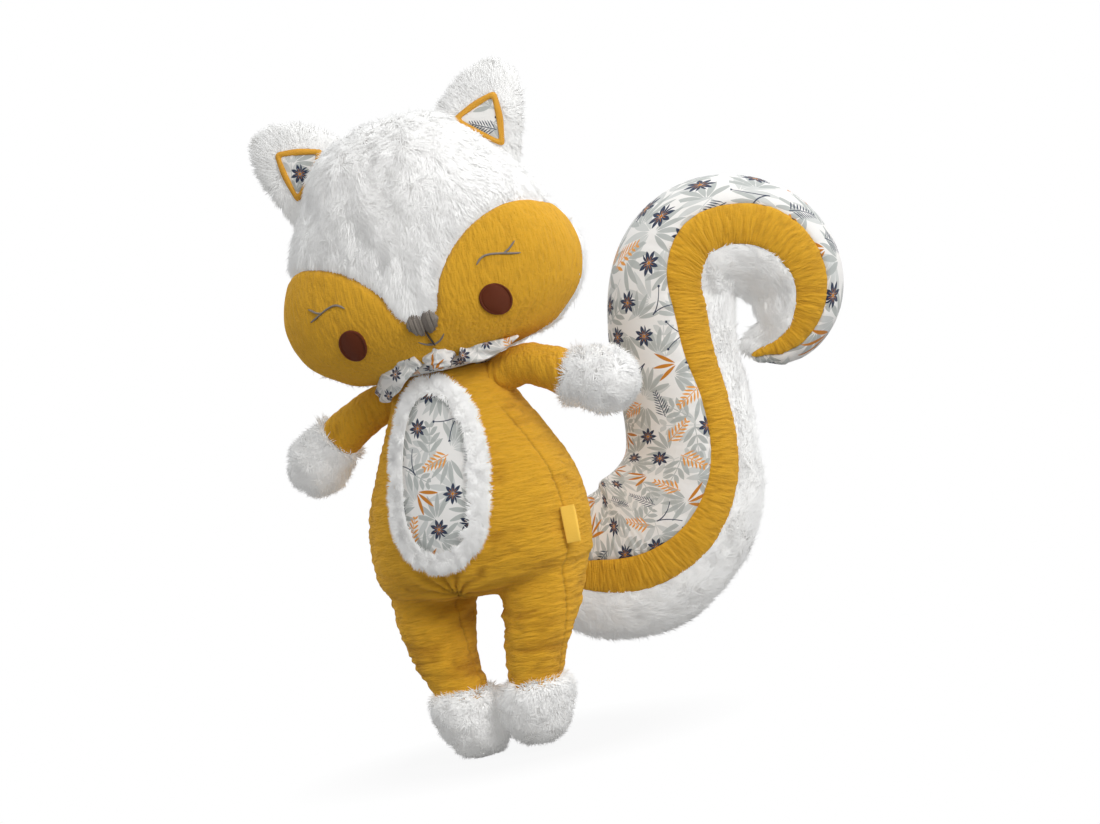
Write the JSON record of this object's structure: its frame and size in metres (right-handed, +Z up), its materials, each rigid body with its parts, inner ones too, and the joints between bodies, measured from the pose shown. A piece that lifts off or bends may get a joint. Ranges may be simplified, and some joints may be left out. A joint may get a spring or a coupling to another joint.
{
  "type": "plush squirrel",
  "caption": "Soft toy squirrel in mustard gauze with a white fur hood, mitts and feet, printed tummy, scarf and ear linings, and a large S-shaped stuffed tail.",
  "frame": {"origin": "middle of the bounding box in plan, at the level of the flat soles", "axes": "+Z up through the head, the face towards -Y and the toy's own left side towards +X"},
  "size_m": [0.2616, 0.206, 0.3375],
  "materials": {
    "mustard_gauze": "matte",
    "white_fur": "matte",
    "printed_cotton": "matte",
    "grey_thread": "satin",
    "brown_thread": "satin",
    "mustard_thread": "satin",
    "filling": "matte"
  },
  "bodies": {
    "torso": {"torso_front_panel": "mustard_gauze", "torso_back_panel": "mustard_gauze", "torso_stuffing": "filling", "tummy_fur_frame": "white_fur", "tummy_print_panel": "printed_cotton", "scarf_band": "printed_cotton", "scarf_knot": "printed_cotton"},
    "neck": {"neck_stuffing": "filling"},
    "head": {"head_hood": "white_fur", "head_back": "white_fur", "cheek_left": "mustard_gauze", "cheek_right": "mustard_gauze", "head_stuffing": "filling", "nose": "grey_thread", "mouth_embroidery": "grey_thread", "eye_left": "grey_thread", "eye_right": "grey_thread", "blush_left": "brown_thread", "blush_right": "brown_thread"},
    "ear_left": {"ear_fur_left": "white_fur", "ear_lining_left": "printed_cotton", "ear_stitching_left": "mustard_thread"},
    "ear_right": {"ear_fur_right": "white_fur", "ear_lining_right": "printed_cotton", "ear_stitching_right": "mustard_thread"},
    "arm_left": {"arm_sleeve_left": "mustard_gauze", "hand_mitt_left": "white_fur", "arm_stuffing_left": "filling"},
    "arm_right": {"arm_sleeve_right": "mustard_gauze", "hand_mitt_right": "white_fur", "arm_stuffing_right": "filling"},
    "leg_left": {"leg_cover_left": "mustard_gauze", "foot_left": "white_fur", "leg_stuffing_left": "filling"},
    "leg_right": {"leg_cover_right": "mustard_gauze", "foot_right": "white_fur", "leg_stuffing_right": "filling"},
    "tail": {"tail_stuffing": "filling", "tail_fur_panel": "white_fur", "tail_strip_back": "mustard_gauze", "tail_print_panel": "printed_cotton", "tail_strip_front": "mustard_gauze"},
    "scarf_end_left": {"scarf_end_left": "printed_cotton"},
    "scarf_end_right": {"scarf_end_right": "printed_cotton"},
    "side_label": {"side_label": "mustard_gauze"}
  },
  "joints": [
    {"name": "neck_turn", "type": "hinge", "parent": "torso", "child": "neck", "pos_m": [-0.03217, -0.05148, 0.1995], "axis": [0, 0, 1], "range_deg": [-44, 8], "stiffness_Nm_per_rad": 0.06},
    {"name": "head_nod", "type": "hinge", "parent": "neck", "child": "head", "pos_m": [-0.03217, -0.05148, 0.1995], "axis": [0.9703, 0.2419, 0], "range_deg": [-6, 6], "stiffness_Nm_per_rad": 0.6},
    {"name": "ear_fold_left", "type": "hinge", "parent": "head", "child": "ear_left", "pos_m": [0.00902, -0.03709, 0.31019], "axis": [0.748, 0.1865, -0.637], "range_deg": [-20, 20], "stiffness_Nm_per_rad": 0.004},
    {"name": "ear_fold_right", "type": "hinge", "parent": "head", "child": "ear_right", "pos_m": [-0.08439, -0.06038, 0.30007], "axis": [-0.6031, -0.1504, -0.7833], "range_deg": [-20, 20], "stiffness_Nm_per_rad": 0.004},
    {"name": "arm_raise_left", "type": "hinge", "parent": "torso", "child": "arm_left", "pos_m": [-0.00865, -0.05148, 0.18163], "axis": [0, -1, 0], "range_deg": [-14, 4], "stiffness_Nm_per_rad": 0.03},
    {"name": "arm_raise_right", "type": "hinge", "parent": "torso", "child": "arm_right", "pos_m": [-0.05569, -0.05148, 0.18163], "axis": [0, 1, 0], "range_deg": [-14, 4], "stiffness_Nm_per_rad": 0.03},
    {"name": "leg_swing_left", "type": "hinge", "parent": "torso", "child": "leg_left", "pos_m": [-0.00517, -0.05148, 0.084], "axis": [-1, 0, 0], "range_deg": [-10, 30], "stiffness_Nm_per_rad": 0.1},
    {"name": "leg_swing_right", "type": "hinge", "parent": "torso", "child": "leg_right", "pos_m": [-0.05917, -0.05148, 0.084], "axis": [-1, 0, 0], "range_deg": [-10, 30], "stiffness_Nm_per_rad": 0.1},
    {"name": "tail_swing", "type": "hinge", "parent": "torso", "child": "tail", "pos_m": [-0.03217, -0.00606, 0.0883], "axis": [0, 0, 1], "range_deg": [0, 55], "stiffness_Nm_per_rad": 0.08},
    {"name": "scarf_flap_left", "type": "hinge", "parent": "torso", "child": "scarf_end_left", "pos_m": [-0.00856, -0.07789, 0.1987], "axis": [-0.1455, 0.194, -0.9701], "range_deg": [0, 40], "stiffness_Nm_per_rad": 0.0005},
    {"name": "scarf_flap_right", "type": "hinge", "parent": "torso", "child": "scarf_end_right", "pos_m": [-0.02748, -0.08613, 0.1987], "axis": [-0.16, -0.32, 0.9338], "range_deg": [0, 40], "stiffness_Nm_per_rad": 0.0005},
    {"name": "label_flip", "type": "hinge", "parent": "torso", "child": "side_label", "pos_m": [0.02645, -0.06348, 0.1005], "axis": [0, 0, 1], "range_deg": [-50, 40], "stiffness_Nm_per_rad": 0.0001}
  ]
}
